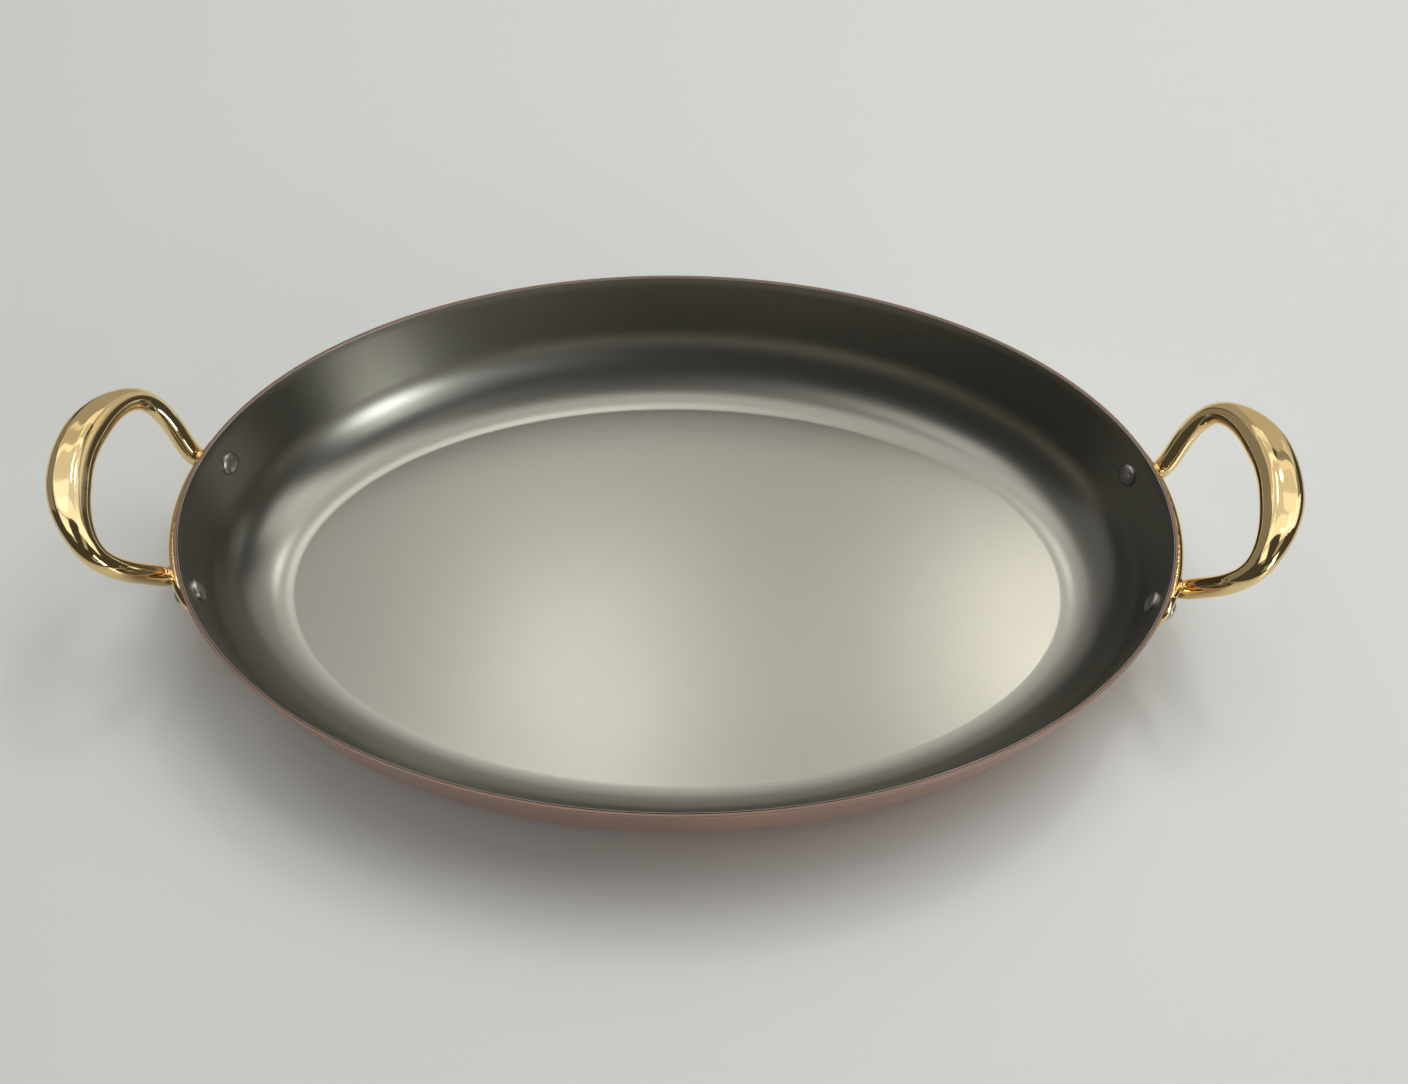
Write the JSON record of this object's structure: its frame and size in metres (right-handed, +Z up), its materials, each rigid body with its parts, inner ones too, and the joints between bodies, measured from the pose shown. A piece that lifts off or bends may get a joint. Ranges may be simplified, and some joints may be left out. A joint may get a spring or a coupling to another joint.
{
  "type": "gratin pan",
  "caption": "Shallow oval copper oven pan with a thin steel lining and a cast brass loop handle riveted to each end.",
  "frame": {"origin": "under the middle of the flat base, on the surface that the pan stands on", "axes": "+X along the long axis of the oval towards the right handle, +Y across it, +Z up out of the bowl"},
  "size_m": [0.418, 0.23, 0.0783],
  "materials": {
    "copper": "brushed copper",
    "lining": "satin, fine grain",
    "handle_brass": "mirror polish",
    "rivet_steel": "hammered, polished"
  },
  "bodies": {
    "root": {"copper_shell": "copper", "steel_lining": "lining", "left_handle": "handle_brass", "right_handle": "handle_brass", "left_front_rivet": "rivet_steel", "left_back_rivet": "rivet_steel", "right_front_rivet": "rivet_steel", "right_back_rivet": "rivet_steel"}
  },
  "joints": []
}
